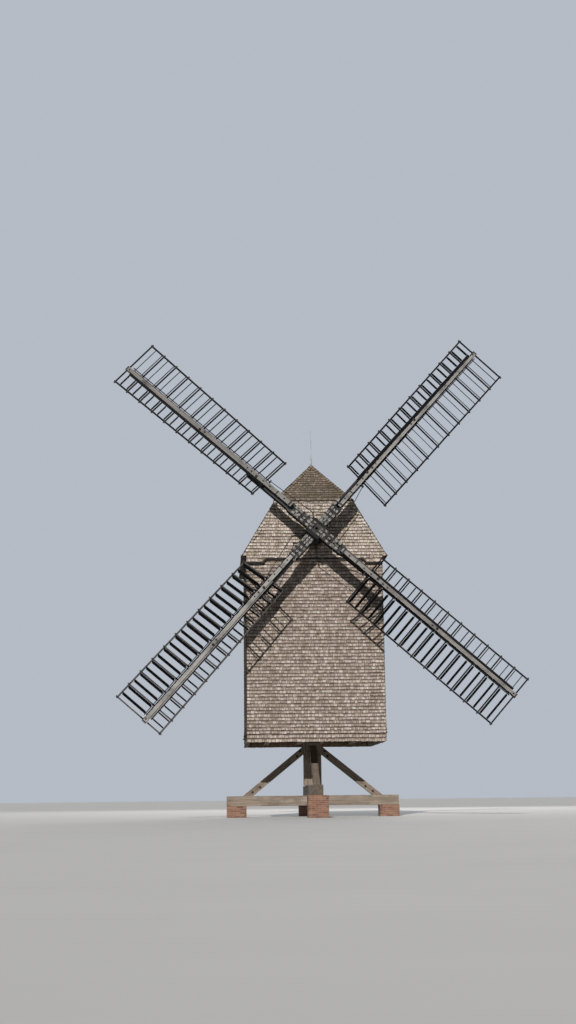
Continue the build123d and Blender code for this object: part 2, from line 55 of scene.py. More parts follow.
def part(tree, kind, inputs=None, **settings):
    """One node of a finish, with its settings made and its inputs given or joined."""
    made = tree.nodes.new("ShaderNode" + kind)
    for key, value in settings.items():
        setattr(made, key, value)
    for key, value in (inputs or {}).items():
        if isinstance(value, bpy.types.NodeSocket):
            tree.links.new(value, made.inputs[key])
        else:
            made.inputs[key].default_value = value
    return made


def shades(tree, factor, *stops):
    """Colours that run into each other at the given places of a factor from 0 to 1."""
    ramp = part(tree, "ValToRGB", {"Fac": factor})
    band = ramp.color_ramp
    while len(band.elements) < len(stops):
        band.elements.new(0.5)
    for element, (place, colour) in zip(band.elements, stops):
        element.position = place
        element.color = (*colour, 1) if isinstance(colour, tuple) else (colour, colour, colour, 1)
    return ramp.outputs[0]


def over(tree, factor, under, upper, way="MIX"):
    """The upper colour laid over the under one by a factor."""
    return part(tree, "Mix", {0: factor, 6: under, 7: upper}, data_type="RGBA", blend_type=way).outputs[2]


def spotted(tree, own, noise, first, last, colour, way="MIX"):
    """A colour laid over another one, by a share that runs between two stops of a noise."""
    return over(tree, shades(tree, noise, first, last), own, (*colour, 1), way)


def worked(tree, way, *numbers, clamped=False):
    """Numbers worked together, such as added or multiplied, and kept from 0 to 1 if clamped."""
    return part(tree, "Math", dict(enumerate(numbers)), operation=way, use_clamp=clamped).outputs[0]


def own_place(tree, mirrored=False):
    """A place in the object's own metres. Mirrored, both sides of the mill's middle are alike."""
    own = part(tree, "TexCoord").outputs["Object"]
    return part(tree, "VectorMath", {0: own}, operation="ABSOLUTE").outputs[0] if mirrored else own


def cloudy(tree, stretch, detail=6.0, roughness=0.6, turn=(0, 0, 0), mirrored=False):
    """Noise at a place, drawn out by one length in metres, or by one for each axis."""
    stretch = stretch if isinstance(stretch, tuple) else (stretch,) * 3
    settings = {"Vector": own_place(tree, mirrored), "Rotation": turn, "Scale": stretch}
    drawn = part(tree, "Mapping", settings, vector_type="TEXTURE").outputs[0]
    wanted = {"Vector": drawn, "Scale": 1.0, "Detail": detail, "Roughness": roughness}
    return part(tree, "TexNoise", wanted).outputs[0]


def lie_on(tree):
    """Where a point lies on its own brick or shingle, as three numbers from 0 to 1."""
    lie = part(tree, "Attribute", attribute_name="lie").outputs["Vector"]
    return part(tree, "SeparateXYZ", {0: lie}).outputs


def finish(name, colour_of, roughness, relief, relief_depth, metallic=0.0, shine=0.5):
    """A finish from a function that gives its tree's colour, roughness factor and relief height."""
    made = bpy.data.materials.new(name)
    made.use_nodes = True
    tree = made.node_tree
    shader = tree.nodes["Principled BSDF"]
    colour, dullness, height = colour_of(tree)
    low, high = roughness
    tree.links.new(colour, shader.inputs["Base Color"])
    tree.links.new(shades(tree, dullness, (0, low), (1, high)), shader.inputs["Roughness"])
    settings = {"Strength": relief, "Distance": relief_depth, "Height": height}
    tree.links.new(part(tree, "Bump", settings).outputs[0], shader.inputs["Normal"])
    shader.inputs["Metallic"].default_value = metallic
    shader.inputs["Specular IOR Level"].default_value = shine
    return made


def piece(name, corners, faces, material, body, lie=None):
    """A mesh from its points and faces, on its body, with where each point lies as a vector."""
    mesh = bpy.data.meshes.new(name)
    mesh.from_pydata(np.reshape(corners, (-1, 3)).tolist(), [], faces)
    if lie is not None:
        held = mesh.attributes.new("lie", "FLOAT_VECTOR", "POINT")
        held.data.foreach_set("vector", np.asarray(lie, np.float32).ravel())
    mesh.materials.append(material)
    made = bpy.data.objects.new(name, mesh)
    bpy.context.scene.collection.objects.link(made)
    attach(made, body)
    return made


def block_faces(count):
    """Six outward faces of each block, whose corners are numbered 4i + 2j + k, for i, j, k in 0, 1."""
    one = np.array(((0, 1, 3, 2), (4, 6, 7, 5), (0, 4, 5, 1), (2, 3, 7, 6), (0, 2, 6, 4), (1, 5, 7, 3)))
    return (np.arange(count)[:, None, None] * 8 + one).reshape(-1, 4).tolist()


def blocks(lows, highs):
    """The eight corners of each block: the low value plus 0 or 1 times the size, on each axis."""
    lows, highs = np.asarray(lows, float), np.asarray(highs, float)
    share = np.indices((2, 2, 2)).reshape(3, 8).T
    return lows[:, None] + share * (highs - lows)[:, None]


def soften(made, width, segments=2):
    """Take the sharp edges off a piece."""
    edge = made.modifiers.new("worn_edges", "BEVEL")
    edge.width = width
    edge.segments = segments
    edge.limit_method = "ANGLE"


def brick_ring(centre, low, high, long_on_x):
    """One course round a pier: stretchers from end to end on two faces, and others between them."""
    face = np.linspace(-pier_half, pier_half, 4)
    between = np.linspace(brick_depth - pier_half, pier_half - brick_depth, 3)
    rows = []
    for side in (-1, 1):
        near, far = sorted((side * pier_half, side * (pier_half - brick_depth)))
        for cuts, along_x in ((face, long_on_x), (between, not long_on_x)):
            for start, end in zip(cuts[:-1], cuts[1:]):
                x, y = ((start, end), (near, far)) if along_x else ((near, far), (start, end))
                rows.append((x[0], y[0], low, x[1], y[1], high))
    return np.array(rows) + (*centre, 0, *centre, 0)


def mottled(noises, own_by, own_stops, spots_by, spots, spot_colour):
    """Colours that run between stops over one of two noises, under spots that follow one of them. A
    noise is its size and detail. The first one also sets the dullness, and the second the relief."""
    def colours(tree):
        grown = [cloudy(tree, size, detail) for size, detail in noises]
        own = shades(tree, grown[own_by], *own_stops)
        return spotted(tree, own, grown[spots_by], *spots, spot_colour), *grown
    return colours


def brick_colours(tree):
    """Brown-red bricks that differ from one another, clouded by burning and by damp."""
    clouds = cloudy(tree, 0.05, detail=8)
    grit = cloudy(tree, 0.004, detail=3)
    own = shades(tree, lie_on(tree)[2], (0, (0.10, 0.035, 0.022)), (0.5, (0.20, 0.075, 0.042)),
                 (1, (0.27, 0.13, 0.075)))
    dusty = spotted(tree, own, clouds, (0.45, 0.0), (0.75, 0.55), (0.30, 0.25, 0.20))
    return spotted(tree, dusty, grit, (0.35, 0.4), (0.6, 0.0), (0.05, 0.03, 0.025)), clouds, grit


brick = finish("hard_burnt_brick", brick_colours, (0.75, 0.95), 0.7, 0.004)
mortar_colours = mottled(((0.12, 6), (0.003, 2)), 0, ((0.3, (0.19, 0.17, 0.145)), (0.7, (0.36, 0.33, 0.28))),
                         1, ((0.4, 0.5), (0.6, 0.0)), (0.13, 0.12, 0.10))
mortar = finish("lime_mortar", mortar_colours, (0.85, 1.0), 0.8, 0.003)
pier_tops = np.array(((-pier_out, 0, low_pier), (pier_out, 0, low_pier),
                      (0, -pier_out, high_pier), (0, pier_out, high_pier)))
courses = []
for x, y, height in pier_tops:
    levels = np.linspace(0, height, round(height / brick_course) + 1)
    for turn, (low, high) in enumerate(zip(levels[:-1], levels[1:])):
        courses.append(brick_ring((x, y), low, high, turn % 2 == 0))
courses = np.concatenate(courses)
lows, highs = courses[:, :3].copy(), courses[:, 3:].copy()
middle = (lows + highs) / 2
pier_of = np.round(middle[:, :2] / pier_out) * pier_out
for corner, inwards in ((lows, 1), (highs, -1)):
    outer = np.abs(corner[:, :2] - pier_of) > pier_half - 1e-6
    uneven = chance.uniform(0, brick_unevenness, outer.shape)
    corner[:, :2] += inwards * np.where(outer, uneven, brick_joint / 2)
pier_top = np.where(np.abs(middle[:, 1]) > 1, high_pier, low_pier)
highs[:, 2] -= brick_joint * (highs[:, 2] < pier_top - brick_course / 2)
tones = np.repeat(chance.uniform(0, 1, len(lows)), 8)
pier_bricks = piece("pier_bricks", blocks(lows, highs), block_faces(len(lows)), brick, "trestle",
                    np.stack((tones,) * 3, 1))
soften(pier_bricks, 0.005)
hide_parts("piers")
core_half = pier_half - mortar_set_back
core_low = np.column_stack((pier_tops[:, :2] - core_half, np.zeros(4)))
core_high = pier_tops + (core_half, core_half, -0.002)
soften(piece("pier_mortar", blocks(core_low, core_high), block_faces(4), mortar, "trestle"), 0.01)

# Trestle: two crossing oak beams on the piers, four leaning quarterbars, and the great post.
# All are squared oak that has greyed and split in the weather. The quarterbars stand on the
# crosstrees in notches and are held by iron bolts, and hoops keep the post from splitting.
post_hoops = ((3.02, 0.322), (5.30, 0.279))
bolt_radius = 0.028
lower_top, upper_top = 0.85, 1.25
bar_half_width = 0.13
bar_slopes = ((-1.95, 0, 1.62), (0, -1.95, 1.22))
bar_pale, bar_deep = (0.28, 0.23, 0.18), (0.10, 0.075, 0.055)
oak_pale, oak_deep = (0.30, 0.25, 0.20), (0.11, 0.085, 0.065)


def grain_turn(grain):
    """The turn that lays a finish's own X axis along the grain."""
    across = Vector(grain).orthogonal().normalized()
    along = Vector(grain).normalized()
    return tuple(Matrix((along, across, along.cross(across))).transposed().to_euler())


def reach(tree, vector, way):
    """How far a vector reaches along a way."""
    return part(tree, "VectorMath", {0: vector, 1: way}, operation="DOT_PRODUCT").outputs["Value"]


def from_line(tree, point, across):
    """The distance of a place, measured one way, from a line through a point."""
    away = part(tree, "VectorMath", {0: own_place(tree), 1: point}, operation="SUBTRACT").outputs[0]
    return reach(tree, away, across)


def timber_colours(grain, pale, deep, dirt=(0.03, 0.026, 0.022), face=None, face_pale=None, face_deep=None,
                   silvered_where=None, mirrored=False):
    """Sawn timber whose grain runs one way, dark at its ends, and silvered on the side that faces the
    weather, or only where a function of its tree gives one."""
    turn = grain_turn(grain)

    def colours(tree):
        broad = cloudy(tree, (1.6, 0.10, 0.10), detail=5, turn=turn, mirrored=mirrored)
        fine = cloudy(tree, (0.35, 0.010, 0.010), detail=5, turn=turn, mirrored=mirrored)
        cracks = cloudy(tree, (0.9, 0.016, 0.016), detail=3, roughness=0.5, turn=turn, mirrored=mirrored)
        patches = cloudy(tree, (0.7, 0.5, 0.5), detail=5)
        lines = over(tree, 0.5, broad, fine)
        own = shades(tree, lines, (0.36, deep), (0.64, pale))
        normal = part(tree, "TexCoord").outputs["Normal"]
        ends = worked(tree, "ABSOLUTE", reach(tree, normal, tuple(Vector(grain).normalized())))
        own = spotted(tree, own, ends, (0.85, 0.0), (0.97, 1.0), (0.42, 0.39, 0.37), "MULTIPLY")
        if face is not None:
            silvered = shades(tree, lines, (0.36, face_deep), (0.64, face_pale))
            shown = shades(tree, reach(tree, normal, face), (0.5, 0.0), (0.75, 1.0))
            if silvered_where is not None:
                shown = worked(tree, "MULTIPLY", shown, silvered_where(tree))
            own = over(tree, shown, own, silvered)
        dirty = spotted(tree, own, patches, (0.50, 0.0), (0.72, 0.65), dirt)
        split = spotted(tree, dirty, cracks, (0.32, 0.85), (0.37, 0.0), (0.012, 0.010, 0.009))
        return split, fine, over(tree, 0.6, fine, cracks)

    return colours


def timber(name, *look, shine=0.5):
    """A finish of sawn timber."""
    return finish(name, timber_colours(*look), (0.7, 0.95), 0.55, 0.006, shine=shine)


def leaning_colours(tree):
    """The quarterbars' oak: the grain follows the slope of whichever pair of bars a place is on."""
    pairs = [timber_colours(slope, bar_pale, bar_deep, mirrored=True)(tree) for slope in bar_slopes]
    sideways, forwards, _ = part(tree, "SeparateXYZ", {0: own_place(tree, mirrored=True)}).outputs
    on_second = worked(tree, "LESS_THAN", sideways, forwards)
    return [over(tree, on_second, first, second) for first, second in zip(*pairs)]


def clad(material, *names):
    """Give CAD nodes a finish in place of their plain one."""
    for name in names:
        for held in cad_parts[name].material_slots:
            held.material = material


def turned(centres, outward, sideways, profile, angled, columns=12):
    """Turned heads: point = centre + radius * (side cos a + up sin a) + height * outward, for each
    (radius, height) of the profile. An angled ring is pulled in to a hexagon, r cos 30 / cos(a - mid)."""
    centres, outward, sideways = (np.atleast_2d(v) for v in (centres, outward, sideways))
    upward = np.cross(outward, sideways)
    angle = np.arange(columns) * 2 * np.pi / columns
    flat = cos(np.pi / 6) / np.cos((angle % (np.pi / 3)) - np.pi / 6)
    radius, height = np.array(profile).T
    ring = radius[:, None] * np.where(np.array(angled)[:, None], flat, 1)
    points = (centres[:, None, None] + sideways[:, None, None] * (ring * np.cos(angle))[None, ..., None]
              + upward[:, None, None] * (ring * np.sin(angle))[None, ..., None]
              + outward[:, None, None] * height[None, :, None, None])
    count, rings = len(centres), len(profile)
    here = np.arange(columns)
    step = np.arange(rings - 1)[:, None] * columns
    ahead = (here + 1) % columns
    one = np.stack((step + here, step + ahead, step + columns + ahead, step + columns + here), -1)
    base = np.arange(count)[:, None, None] * rings * columns
    sides = (base + one.reshape(-1, 4)).reshape(-1, 4).tolist()
    lower = (base[:, 0] + here[::-1]).tolist()
    upper = (base[:, 0] + (rings - 1) * columns + here).tolist()
    return points, sides + lower + upper


def bolt_profile(radius):
    """A round washer with a hexagon nut and the domed end of the bolt on it."""
    rings = ((1.7, 0), (1.7, 0.25), (1.0, 0.25), (1.0, 0.95),
             (0.86, 1.1), (0.5, 1.1), (0.5, 1.4), (0.3, 1.55))
    angled = (False, False, True, True, True, False, False, False)
    return [(radius * r, radius * h) for r, h in rings], angled


def joined(name, shapes, material, body, slot):
    """Several shapes, each a pair of points and faces, as one piece."""
    points, faces, start = [], [], 0
    for corners, those in shapes:
        points.append(np.reshape(corners, (-1, 3)))
        faces.extend([start + i for i in face] for face in those)
        start += len(points[-1])
    return piece(name, np.concatenate(points), faces, material, body)


def hoop(centre, outward, sideways, radius, width, thickness, columns=48):
    """A closed ring: a rectangle from the radius out to the thickness, carried round the axis."""
    angle = np.arange(columns) * 2 * np.pi / columns
    rim = np.outer(np.cos(angle), sideways) + np.outer(np.sin(angle), np.cross(outward, sideways))
    section = np.array(((0, 0), (0, width), (thickness, width), (thickness, 0)))
    points = centre + rim[:, None] * (radius + section[:, 0])[:, None] + np.outer(section[:, 1], outward)
    here, side = np.meshgrid(np.arange(columns), np.arange(4), indexing="ij")
    after, beside = (here + 1) % columns, (side + 1) % 4
    faces = np.stack((here * 4 + side, here * 4 + beside, after * 4 + beside, after * 4 + side), -1)
    return points, faces.reshape(-1, 4).tolist()


iron_colours = mottled(((0.06, 8), (0.006, 4)), 1,
                       ((0.3, (0.014, 0.013, 0.014)), (0.7, (0.034, 0.032, 0.033))),
                       0, ((0.55, 0.0), (0.72, 0.6)), (0.050, 0.026, 0.016))
forged_iron = finish("forged_iron", iron_colours, (0.45, 0.85), 0.5, 0.002, metallic=0.6)
clad(timber("trestle_oak_across", (1, 0, 0), oak_pale, oak_deep), "crosstree_lower")
clad(timber("trestle_oak_along", (0, 1, 0), oak_pale, oak_deep), "crosstree_upper")
clad(timber("trestle_oak_upright", (0, 0, 1), bar_pale, bar_deep), "main_post")
clad(finish("trestle_oak_leaning", leaning_colours, (0.7, 0.95), 0.55, 0.006), "quarterbars")
hoops = [hoop((0, 0, height), (0, 0, 1), (1, 0, 0), radius, 0.07, 0.012) for height, radius in post_hoops]
soften(joined("post_hoops", hoops, forged_iron, "trestle", "trestle_oak"), 0.003)
bar_bolts = []
for out, top in (((1, 0, 0), lower_top), ((-1, 0, 0), lower_top),
                 ((0, 1, 0), upper_top), ((0, -1, 0), upper_top)):
    out = np.array(out, float)
    side = np.cross((0, 0, 1), out)
    for face in (-1, 1):
        for distance, height in ((2.45, top + 0.15), (2.15, top + 0.35), (0.62, 2.42), (0.5, 2.62)):
            centre = out * distance + side * face * bar_half_width + (0, 0, height)
            bar_bolts.append((centre, side * face, out))
bolt_heads = turned(*(np.array(v) for v in zip(*bar_bolts)), *bolt_profile(bolt_radius))
joined("trestle_bolts", [bolt_heads], forged_iron, "trestle", "trestle_oak")

# Frame of the house: the crown tree that hangs on the post, the girts, and the floor on its beams.
# It is pit-sawn oak that never sees rain, so it is browner and smoother than the trestle.
# The floor boards are nailed side by side across the beams.
board_width = 0.19
indoor_pale, indoor_deep = (0.24, 0.165, 0.10), (0.09, 0.058, 0.036)


def floor_colours(tree):
    """Boards side by side on X, each with its own tone, and a dark joint between them."""
    own = part(tree, "SeparateXYZ", {0: own_place(tree)}).outputs[0]
    boards = worked(tree, "DIVIDE", own, board_width)
    number, within = worked(tree, "FLOOR", boards), worked(tree, "FRACT", boards)
    tone = part(tree, "TexWhiteNoise", {"W": number}, noise_dimensions="1D").outputs[0]
    grain = cloudy(tree, (0.012, 0.5, 0.012))
    lines = over(tree, 0.4, grain, tone)
    plank = shades(tree, lines, (0.3, (0.10, 0.065, 0.038)), (0.7, (0.26, 0.18, 0.11)))
    joint = shades(tree, within, (0.0, 1.0), (0.03, 0.0), (0.97, 0.0), (1.0, 1.0))
    relief = worked(tree, "SUBTRACT", grain, joint, clamped=True)
    return over(tree, joint, plank, (0.012, 0.010, 0.008, 1)), grain, relief


indoor_x = timber("frame_oak_across", (1, 0, 0), indoor_pale, indoor_deep)
indoor_z = timber("frame_oak_upright", (0, 0, 1), (0.22, 0.155, 0.10), (0.08, 0.054, 0.035))
clad(indoor_x, "crown_tree", "breast_beam", "tail_beam", "shaft_bearings")
clad(timber("frame_oak_along", (0, 1, 0), indoor_pale, indoor_deep), "girts", "floor_frame")
clad(indoor_z, "front_wall", "rear_wall", "left_wall", "right_wall", "front_gable", "rear_gable")
clad(finish("floor_boarding", floor_colours, (0.6, 0.85), 0.6, 0.004), "floor")

# Wall shingles: split oak shingles in courses of 131 mm, nailed to the boarding of the four walls.
# Each covers the heads of the course below it. Those of the two side walls are coloured much darker, a
# painted shade.
# The first course over the skirt is kicked out on a batten, so that water drips clear.
wall_x = 2.714
wall_y = 3.0
skirt_foot = 2.9
drip_height = 3.22
wall_top = 10.2
side_wall_top = 10.235
wall_course = 0.131
shingle_width = 0.098
head_thickness = 0.004
head_lap = 0.014
narrowest = 0.02
butt_wander = 0.005
side_lap = 0.02
kick_out = 0.045
batten = 0.035


def shingle_finish(name, damp, weathered, bleached, growth, growth_share, joint=0.93):
    """Split shingles: each has its own tone, is darkened under the butt above it by damp and by painted
    shade, and is streaked by rain.
    """

    def colours(tree):
        across, run, tone = lie_on(tree)
        grain = cloudy(tree, (0.006, 0.006, 0.09), detail=5)
        patches = cloudy(tree, (1.1, 1.1, 0.8), roughness=0.65)
        streaks = cloudy(tree, (0.10, 0.10, 1.6), detail=4)
        green = cloudy(tree, (0.5, 0.5, 0.35), detail=7, roughness=0.7)
        spots = cloudy(tree, (0.07, 0.07, 0.05), detail=5, roughness=0.7)
        mixed = over(tree, 0.34, over(tree, 0.45, patches, streaks), tone)
        mixed = over(tree, 0.22, over(tree, 0.42, mixed, spots), grain)
        own = shades(tree, mixed, (0.34, damp), (0.49, weathered), (0.64, bleached))
        drift = cloudy(tree, (0.30, 0.30, 0.10), detail=3, roughness=0.7)
        # The band at each shingle's upper end, under the butt above, darkens as damp and as painted shade;
        # joint sets how dark it gets.
        ragged = worked(tree, "MULTIPLY_ADD", spots, 0.6, worked(tree, "MULTIPLY_ADD", drift, 0.9, run))
        ragged = worked(tree, "SUBTRACT", ragged, 0.53)
        butt_damp_and_painted_shade = shades(tree, ragged, (0.60, 0.0), (0.84, 0.6), (0.96, joint))
        edge = shades(tree, across, (0.0, 1.0), (0.17, 0.0), (0.83, 0.0), (1.0, 1.0))
        sides = worked(tree, "MULTIPLY", edge, shades(tree, spots, (0.42, 0.25), (0.56, 1.0)))
        own = spotted(tree, own, green, (0.5, 0.0), (0.68, growth_share), growth, "MULTIPLY")
        dark = worked(tree, "MAXIMUM", butt_damp_and_painted_shade, sides)
        # The dark brown laid on here is damp and painted shade under the butts, and the dark joints at the
        # shingles' sides.
        return over(tree, dark, own, (0.040, 0.027, 0.019, 1)), grain, grain

    return finish(name, colours, (0.8, 0.98), 0.6, 0.003)


def lay_shingles(name, origin, across, upward, heights, limits, material, width=shingle_width,
                 butt=0.021, kick=None, hole=None):
    """Courses of wedge-shaped shingles on a plane. The joints of a course lie at the running sum of
    random widths, cut off at the course's two limits. point = origin + s across + h upward + d out,
    where d is the butt's thickness at the lower end and the head's at the upper end, under the next
    course. The butts of a course wander up and down by a sine of s."""
    low, high = heights[:-1], heights[1:]
    nearest = np.min(limits(low)[0])
    span = np.max(limits(low)[1]) - nearest
    count = int(span / width * 1.25) + 3
    every = (len(low), count)
    steps = chance.choice((0.6, 0.8, 1.0, 1.3, 1.7), every) * chance.uniform(0.9, 1.1, every) * width
    edges = nearest - steps[:, :1] + np.cumsum(steps, 1)
    edges = np.concatenate((edges[:, :1] - width, edges), 1)
    left, right = edges[:, :-1], edges[:, 1:] - chance.uniform(0.002, 0.007, every)
    if hole is not None:
        clear = hole(low)[:, None]
        midway = (left + right) / 2
        right = np.where(midway < 0, np.minimum(right, -clear), right)
        left = np.where(midway < 0, left, np.maximum(left, clear))
    s = np.stack([np.stack([np.clip(edge, first[:, None], last[:, None]) for edge in (left, right)], -1)
                  for first, last in (limits(low), limits(high))], -1)
    shown = (s[:, :, 1, 0] - s[:, :, 0, 0] > narrowest) & (s[:, :, 1, 1] >= s[:, :, 0, 1])
    ragged = chance.normal(0, 0.006, (*every, 1)) + chance.normal(0, 0.002, (*every, 2))
    bend, start = (chance.uniform(*ends, (len(low), 1, 1)) for ends in ((2.6, 4.4), (0, 6.3)))
    foot = low[:, None, None] + ragged + butt_wander * np.sin(s[..., 0] * bend + start)
    h = np.stack((foot, np.broadcast_to(high[:, None, None] + head_lap, (*every, 2))), -1)
    lift = 0 if kick is None else kick(low)[:, None]
    thick = butt * chance.uniform(0.75, 1.25, every) + lift
    front = np.stack((thick, np.full(every, head_thickness)), -1)
    d = np.stack((np.zeros_like(front), front), -1)[:, :, None]
    s, h, d = np.broadcast_arrays(s[..., None], h[..., None], d)
    out = np.cross(across, upward)
    points = origin + s[..., None] * across + h[..., None] * upward + d[..., None] * out
    tone = chance.uniform(0, 1, every)[..., None, None, None]
    corner = np.indices((2, 2, 2))
    lie = np.stack([np.broadcast_to(share, s.shape) for share in (corner[0], corner[1], tone)], -1)
    points, lie = points[shown].reshape(-1, 3), lie[shown].reshape(-1, 3)
    return piece(name, points, block_faces(len(points) // 8), material, "house", lie)


def straight(first, last):
    """Limits that stay the same at every height."""
    return lambda height: (np.full(len(height), first), np.full(len(height), last))


def skirt_kick(height):
    """How far a course stands out: most on the drip batten, and less in the next two courses."""
    return np.interp(height, (skirt_foot, drip_height - 0.02, drip_height, drip_height + 2.5 * wall_course),
                     (0.0, 0.0, kick_out, 0.0))


wall_shingle = shingle_finish("wall_shingle", (0.140, 0.104, 0.080), (0.310, 0.258, 0.224),
                              (0.59, 0.535, 0.49), (0.80, 0.80, 0.66), 0.5)
# The side walls' shingles are the same shingles coloured much darker: a painted shade for the side walls.
painted_shade_side_shingle = shingle_finish("painted_shade_side_shingle", (0.055, 0.043, 0.035), (0.108, 0.089, 0.077),
                              (0.18, 0.155, 0.135), (0.70, 0.74, 0.58), 0.6)
skirt_levels = np.linspace(skirt_foot, drip_height, 3)
wall_levels = np.arange(drip_height, wall_top, wall_course)
wall_heights = np.concatenate((skirt_levels[:-1], wall_levels))
side_heights = np.append(wall_heights, side_wall_top)
for name, origin, across, half, levels, laid in (
        ("front", (0, -wall_y, 0), (1, 0, 0), wall_x, wall_heights, wall_shingle),
        ("rear", (0, wall_y, 0), (-1, 0, 0), wall_x, wall_heights, wall_shingle),
        ("left", (-wall_x, 0, 0), (0, -1, 0), wall_y + side_lap, side_heights, painted_shade_side_shingle),
        ("right", (wall_x, 0, 0), (0, 1, 0), wall_y + side_lap, side_heights, painted_shade_side_shingle)):
    lay_shingles(name + "_wall_shingles", origin, across, (0, 0, 1), levels, straight(-half, half),
                 laid, kick=skirt_kick)
corners = np.array((wall_x, wall_y, drip_height + 0.005)) * ((-1, -1, 1), (1, -1, 1), (-1, -1, 1), (-1, 1, 1))
runs = ((2 * wall_x, -batten, batten), (batten, 2 * wall_y, batten),
        (-batten, 2 * wall_y, batten), (2 * wall_x, batten, batten))
drip_low, drip_high = np.minimum(corners, corners + runs), np.maximum(corners, corners + runs)
soften(piece("drip_battens", blocks(drip_low, drip_high), block_faces(4), indoor_x,
             "house"), 0.004)

# Gable shingles: the same shingles in closer courses, on the two gables that stand out over the walls,
# bleached by the weather and green where the wet sails drip. They are cut round the shaft's hole, and
# a near-black fillet closes their lower edge, which steps up between its two ends; its black is a painted
# shadow.
gable_y = 3.12
gable_foot = 9.98
gable_step = 0.17
step_foot = 2.065
step_top = 1.935
fillet_height = 0.065
fillet_inset = 0.026
fillet_depths = (-0.09, 0.013)
eaves_x, eaves_z = 2.878, 10.24
break_x, break_z = 1.534, 12.51
roof_thickness = 0.11
slope = (eaves_x - break_x) / (break_z - eaves_z)
gable_half_at_eaves = eaves_x - roof_thickness / cos(atan(slope))
shaft_hole = 0.36
half_course = 0.06
hub = np.array((0, -4.287, 11.055))
shaft_tilt = radians(4.5)


def gable_limits(height):
    """The gable's half width: the wall's, then the underside of the roof as it leans in."""
    half = np.minimum(wall_x, gable_half_at_eaves - (height - eaves_z) * slope)
    return -half, half


def cheek_limits(side):
    """The end of a gable's foot, from the slanted step out to the corner."""
    def limits(height):
        step = np.interp(height, (gable_foot, gable_foot + gable_step), (step_foot, step_top))
        corner = np.full(len(height), wall_x)
        return (step, corner) if side > 0 else (-corner, -step)
    return limits


def round_the_shaft(height):
    """Half the width of the shaft's hole at a course, and less than nothing away from it."""
    middle = hub[2] + (hub[1] + gable_y) * tan(shaft_tilt)
    nearest = np.maximum(0, np.abs(height + half_course - middle) - half_course)
    return np.where(nearest < shaft_hole, np.sqrt(np.maximum(shaft_hole ** 2 - nearest ** 2, 0)), -9)


def fillet_corners():
    """Five lengths along a gable's foot, each with corners at (s, h, d): s and h run from one bend of
    the foot's line to the next, on it and a fillet's height below it, and d is one of two depths."""
    foot = np.array(((wall_x, gable_foot), (step_foot, gable_foot), (step_top, gable_foot + gable_step)))
    below = foot - ((0, fillet_height), (fillet_inset, fillet_height), (fillet_inset, fillet_height))
    lines = np.array([np.concatenate((line * (-1, 1), line[::-1])) for line in (below, foot)])
    made = np.zeros((5, 2, 2, 2, 3))
    made[..., :2] = np.stack((lines[:, :-1], lines[:, 1:]), 1).transpose(2, 1, 0, 3)[:, :, :, None]
    made[..., 2] = fillet_depths
    return made.reshape(5, 8, 3)


gable_shingle = shingle_finish("gable_shingle", (0.195, 0.160, 0.132), (0.41, 0.352, 0.308),
                               (0.69, 0.63, 0.58), (0.70, 0.72, 0.52), 0.7)
# The fillet's near-black colour is a painted shadow: the dark line under the gable's foot.
painted_shadow_fillet = timber("painted_shadow_fillet", (1, 0, 0), (0.012, 0.010, 0.009), (0.005, 0.004, 0.004),
                       (0.010, 0.009, 0.008))
both_ends = (("front", -1), ("rear", 1))
both_sides = (("left", -1), ("right", 1))
gable_heights = np.linspace(gable_foot + gable_step, break_z, 20)
cheek_heights = np.array((gable_foot, gable_foot + gable_step))
for end_name, end_side in both_ends:
    end_origin, end_across = (0, end_side * gable_y, 0), (-end_side, 0, 0)
    lay_shingles(end_name + "_gable_shingles", end_origin, end_across, (0, 0, 1), gable_heights, gable_limits,
                 gable_shingle, butt=0.019, hole=round_the_shaft if end_side < 0 else None)
    for cheek_name, cheek in both_sides:
        lay_shingles(f"{end_name}_gable_cheek_{cheek_name}", end_origin, end_across, (0, 0, 1),
                     cheek_heights, cheek_limits(cheek), gable_shingle, butt=0.024)
    end_axes = np.array((end_across, (0, 0, 1), np.cross(end_across, (0, 0, 1))))
    piece(end_name + "_gable_shadow_fillet", end_origin + fillet_corners() @ end_axes, block_faces(5),
          painted_shadow_fillet, "house")

# Roof shingles: courses of split shingles on the two lower slopes, the two upper slopes and the
# half hips over the gables. They are older and mossier than the walls. The lowest course hangs
# over each eave, and the hips and the ridge are covered by pairs of lapping shingles.
ridge_z = 14.21
verge_y = 3.15
ridge_y = 1.78
roof_course = 0.145
verge_lap = 0.025
eave_overhang, hip_overhang = 0.05, 0.075
hip_cap, ridge_cap = 0.115, 0.13
cap_lift = 0.022
undivided = 5.0
hip_head = 0.02
roof_shingle = shingle_finish("roof_shingle", (0.075, 0.060, 0.046), (0.165, 0.132, 0.100),
                              (0.275, 0.225, 0.175), (0.45, 0.50, 0.26), 0.95, joint=0.85)
lower_slope = np.array((eaves_x - break_x, 0, break_z - eaves_z))
upper_slope = np.array((break_x, 0, ridge_z - break_z))
hip_slope = np.array((0, verge_y - ridge_y, ridge_z - break_z))


def unit(vector):
    """The same direction with a length of one."""
    return np.asarray(vector, float) / np.linalg.norm(vector)


def course_heights(length, overhang):
    """Even courses from just below an eave up to the end of the slope."""
    return np.concatenate(((-overhang,), np.linspace(0, length, round(length / roof_course) + 1)[1:]))


def narrowing(foot, head, length):
    """Limits that run straight from the foot's half width to the head's."""
    def limits(height):
        half = np.interp(height, (0, length), (foot, head)) + np.where(height < 0, 0.01, 0)
        return -half, half
    return limits


def eave_kick(height):
    """The lowest course is doubled, so it stands out further."""
    return np.where(height < 0, 0.016, 0.0)


def lay_caps(name, foot, line, face_out, inward, width, heights):
    """A row of whole shingles that lap up a line, on its inward side."""
    sideways = np.cross(line, unit(face_out))
    band = (0, width) if sideways @ inward > 0 else (-width, 0)
    lay_shingles(name, foot + cap_lift * unit(face_out), sideways, line, heights, straight(*band),
                 roof_shingle, width=undivided, butt=0.02)


